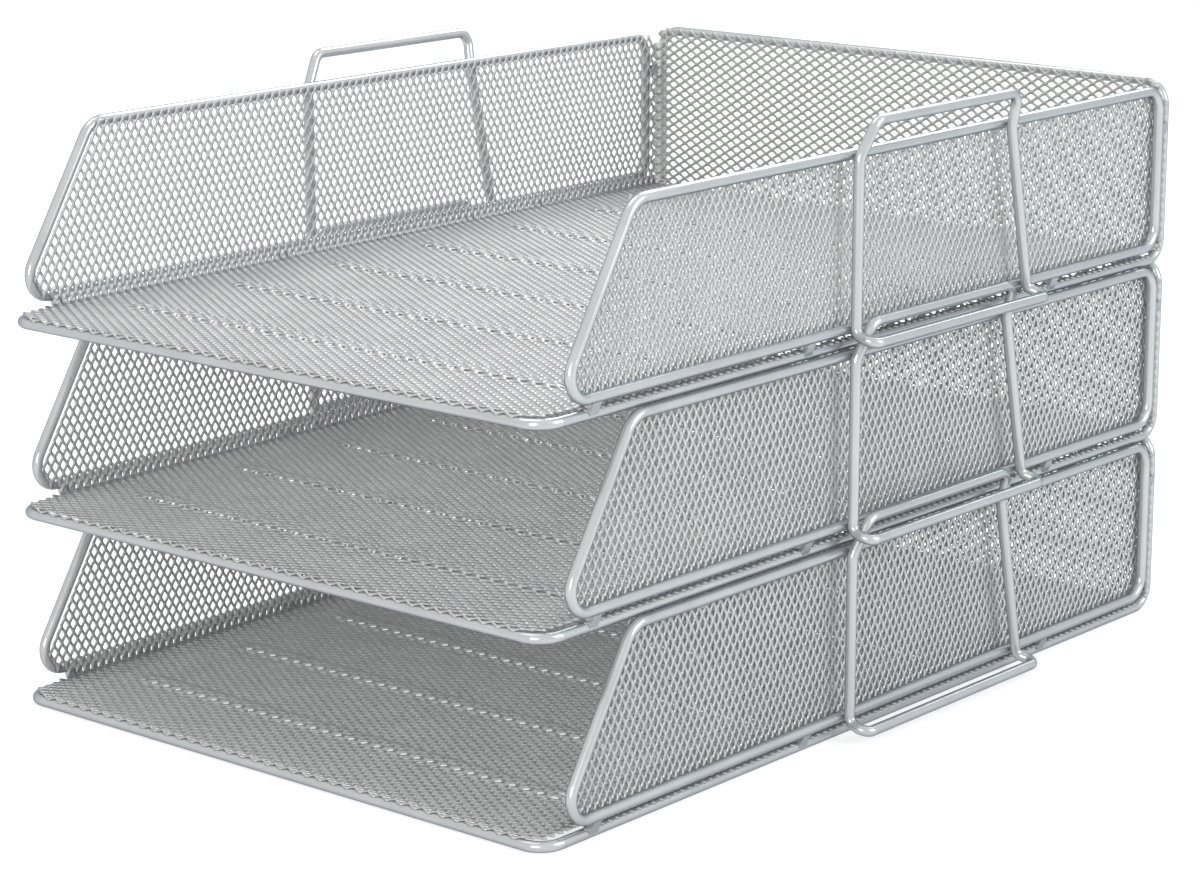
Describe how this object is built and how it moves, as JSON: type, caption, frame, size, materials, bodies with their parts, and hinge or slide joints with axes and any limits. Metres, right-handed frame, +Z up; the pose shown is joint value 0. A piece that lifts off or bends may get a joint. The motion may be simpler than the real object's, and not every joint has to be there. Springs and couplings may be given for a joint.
{
  "type": "three-tier wire document tray",
  "caption": "Three stacked open-fronted letter trays of silver expanded-metal mesh on bent wire frames; each upper tray lifts off the hoops of the one below.",
  "frame": {"origin": "on the table, at the middle of the whole stack's width and depth", "axes": "+X to the right and +Y to the rear as seen from the open front, +Z up"},
  "size_m": [0.2726, 0.3588, 0.2152],
  "materials": {
    "wire": "satin silver paint on round steel wire",
    "mesh": "satin silver paint on expanded steel mesh"
  },
  "bodies": {
    "bottom_tray": {"bottom_mesh_basket": "mesh", "bottom_perimeter_wire": "wire", "bottom_left_side_frame": "wire", "bottom_right_side_frame": "wire", "bottom_left_stacking_bracket": "wire", "bottom_right_stacking_bracket": "wire", "bottom_left_frame_tabs": "wire", "bottom_right_frame_tabs": "wire"},
    "middle_tray": {"middle_mesh_basket": "mesh", "middle_perimeter_wire": "wire", "middle_left_side_frame": "wire", "middle_right_side_frame": "wire", "middle_left_stacking_bracket": "wire", "middle_right_stacking_bracket": "wire", "middle_left_frame_tabs": "wire", "middle_right_frame_tabs": "wire"},
    "top_tray": {"top_mesh_basket": "mesh", "top_perimeter_wire": "wire", "top_left_side_frame": "wire", "top_right_side_frame": "wire", "top_left_stacking_bracket": "wire", "top_right_stacking_bracket": "wire", "top_left_frame_tabs": "wire", "top_right_frame_tabs": "wire"}
  },
  "joints": [
    {"name": "middle_tray_lift", "type": "slide", "parent": "bottom_tray", "child": "middle_tray", "axis": [0, 0, 1], "range_m": [0, 0.1]},
    {"name": "top_tray_lift", "type": "slide", "parent": "middle_tray", "child": "top_tray", "axis": [0, 0, 1], "range_m": [0, 0.1]}
  ]
}
